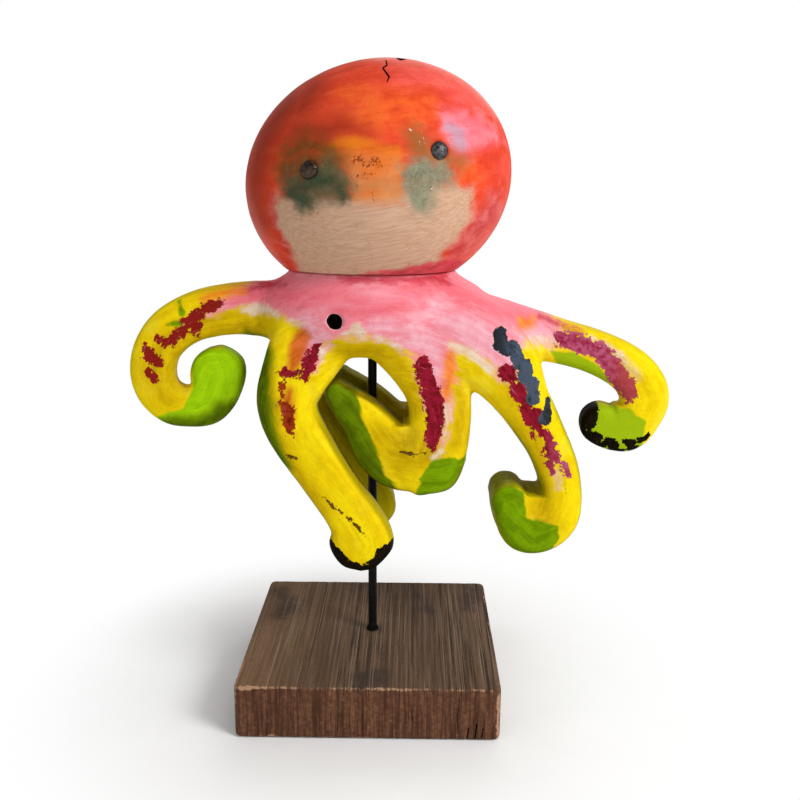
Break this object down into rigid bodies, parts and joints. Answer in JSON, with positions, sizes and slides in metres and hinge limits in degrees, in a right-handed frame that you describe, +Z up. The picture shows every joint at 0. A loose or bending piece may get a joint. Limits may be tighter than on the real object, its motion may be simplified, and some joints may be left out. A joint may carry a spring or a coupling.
{
  "type": "octopus figurine",
  "caption": "Hand-painted carved wooden octopus with curled arms that turns on a thin black rod set in a reclaimed wood block.",
  "frame": {"origin": "centre of the block's underside, on the rod's axis", "axes": "+Z up along the rod, the face looks towards -Y"},
  "size_m": [0.235, 0.112, 0.2791],
  "materials": {
    "reclaimed_wood": "weathered, open grain",
    "black_rod": "satin black",
    "pink_painted_wood": "brushed paint, satin",
    "red_painted_wood": "brushed paint, satin",
    "yellow_painted_wood": "brushed paint, satin",
    "plain_dowel": "bare",
    "iron_nail": "dark, hammered"
  },
  "bodies": {
    "stand": {"base_block": "reclaimed_wood", "stand_rod": "black_rod"},
    "figure": {"mantle": "pink_painted_wood", "head": "red_painted_wood", "far_left_arm": "yellow_painted_wood", "front_left_arm": "yellow_painted_wood", "front_centre_arm": "yellow_painted_wood", "front_centre_hook": "yellow_painted_wood", "front_right_arm": "yellow_painted_wood", "far_right_arm": "yellow_painted_wood", "back_left_arm": "yellow_painted_wood", "back_centre_arm": "yellow_painted_wood", "back_centre_hook": "yellow_painted_wood", "back_right_arm": "yellow_painted_wood", "left_eye_nail": "iron_nail", "right_eye_nail": "iron_nail", "neck_dowels": "plain_dowel", "arm_dowels": "plain_dowel", "hook_dowels": "plain_dowel"}
  },
  "joints": [
    {"name": "figure_swivel", "type": "hinge", "parent": "stand", "child": "figure", "pos_m": [0, 0, 0.156], "axis": [0, 0, 1], "continuous": true}
  ]
}
